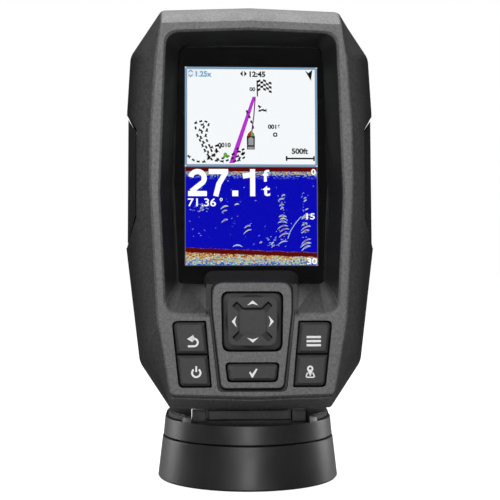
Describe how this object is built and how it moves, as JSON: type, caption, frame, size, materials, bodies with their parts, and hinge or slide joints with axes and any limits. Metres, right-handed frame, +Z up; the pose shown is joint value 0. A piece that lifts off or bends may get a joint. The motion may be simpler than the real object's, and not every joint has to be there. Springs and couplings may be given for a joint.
{
  "type": "fish finder",
  "caption": "Handheld-sized sonar display with a keypad, sliding onto a cradle that tilts on a round swivel mount.",
  "frame": {"origin": "centre of the mount base's underside, on the swivel axis", "axes": "+Z up out of the deck along the swivel axis, -Y the way the screen faces, +X to the right of someone facing the screen"},
  "size_m": [0.0924, 0.0741, 0.1795],
  "materials": {
    "case_grey": "fine-grained dark grey moulding",
    "case_black": "matte black moulding",
    "mount_black": "satin black moulding",
    "grip_rubber": "smooth soft black rubber",
    "key_rubber": "charcoal silicone rubber",
    "window_glass": "clear glass with a black printed border",
    "display": "lit liquid crystal panel",
    "white_plastic": "white diffuser tray",
    "circuit_green": "green solder mask",
    "seal_rubber": "dull black seal rubber",
    "steel": "bright steel",
    "brass": "bright brass",
    "ceramic": "unglazed buff ceramic",
    "nylon": "natural nylon"
  },
  "bodies": {
    "mount": {"mount_base": "mount_black", "swivel_bolt": "steel", "swivel_friction_ring": "nylon", "swivel_spring_washer": "steel"},
    "swivel": {"swivel_turret": "mount_black", "tilt_axle": "steel", "tilt_bush_left": "nylon", "tilt_bush_right": "nylon", "ear_pad_left": "grip_rubber", "ear_pad_right": "grip_rubber"},
    "cradle": {"cradle_frame": "mount_black", "latch_pin": "steel", "latch_spring": "steel"},
    "latch": {"release_lever": "mount_black"},
    "head": {"front_housing": "case_grey", "rear_housing": "case_black", "side_grip_left": "grip_rubber", "side_grip_right": "grip_rubber", "window_glass": "window_glass", "cable_socket": "case_black", "lcd_panel": "display", "lcd_backlight": "white_plastic", "lcd_flex_cable": "brass", "main_board": "circuit_green", "key_board": "circuit_green", "keypad_mat": "key_rubber", "dome_switch_sheet": "steel", "gps_antenna": "ceramic", "processor_shield": "steel", "sonar_transformer": "ceramic", "sonar_capacitor": "steel", "buzzer": "case_black", "housing_seal": "seal_rubber", "window_gasket": "seal_rubber", "socket_seal": "seal_rubber", "socket_contacts": "brass", "case_screw_1": "steel", "case_screw_2": "steel", "case_screw_3": "steel", "case_screw_4": "steel", "case_screw_5": "steel", "case_screw_6": "steel"},
    "back_button": {"back_key": "key_rubber"},
    "power_button": {"power_key": "key_rubber"},
    "menu_button": {"menu_key": "key_rubber"},
    "mark_button": {"mark_key": "key_rubber"},
    "select_button": {"select_key": "key_rubber"},
    "pad_pivot": {"direction_pad_pivot": "nylon"},
    "pad": {"direction_pad": "key_rubber"}
  },
  "joints": [
    {"name": "swivel_turn", "type": "hinge", "parent": "mount", "child": "swivel", "pos_m": [0, 0, 0.0125], "axis": [0, 0, 1], "range_deg": [-90, 90]},
    {"name": "tilt", "type": "hinge", "parent": "swivel", "child": "cradle", "pos_m": [0, 0, 0.0203], "axis": [1, 0, 0], "range_deg": [-40, 3]},
    {"name": "latch_press", "type": "hinge", "parent": "cradle", "child": "latch", "pos_m": [0, -0.00003, 0.05427], "axis": [1, 0, 0], "range_deg": [-8, 0], "stiffness_Nm_per_rad": 0.4, "springref_deg": 5.73},
    {"name": "head_release", "type": "slide", "parent": "cradle", "child": "head", "axis": [0, 0.061, 0.9981], "range_m": [0, 0.055]},
    {"name": "back_press", "type": "slide", "parent": "head", "child": "back_button", "axis": [0, 0.9981, -0.061], "range_m": [0, 0.0008], "stiffness_N_per_m": 300, "springref_m": -0.0003},
    {"name": "power_press", "type": "slide", "parent": "head", "child": "power_button", "axis": [0, 0.9981, -0.061], "range_m": [0, 0.0008], "stiffness_N_per_m": 300, "springref_m": -0.0003},
    {"name": "menu_press", "type": "slide", "parent": "head", "child": "menu_button", "axis": [0, 0.9981, -0.061], "range_m": [0, 0.0008], "stiffness_N_per_m": 300, "springref_m": -0.0003},
    {"name": "mark_press", "type": "slide", "parent": "head", "child": "mark_button", "axis": [0, 0.9981, -0.061], "range_m": [0, 0.0008], "stiffness_N_per_m": 300, "springref_m": -0.0003},
    {"name": "select_press", "type": "slide", "parent": "head", "child": "select_button", "axis": [0, 0.9981, -0.061], "range_m": [0, 0.0008], "stiffness_N_per_m": 300, "springref_m": -0.0003},
    {"name": "pad_up_down", "type": "hinge", "parent": "head", "child": "pad_pivot", "pos_m": [0, -0.03254, 0.06166], "axis": [1, 0, 0], "range_deg": [-3, 3], "stiffness_Nm_per_rad": 0.3},
    {"name": "pad_left_right", "type": "hinge", "parent": "pad_pivot", "child": "pad", "pos_m": [0, -0.03254, 0.06166], "axis": [0, 0.061, 0.9981], "range_deg": [-3, 3], "stiffness_Nm_per_rad": 0.3}
  ]
}
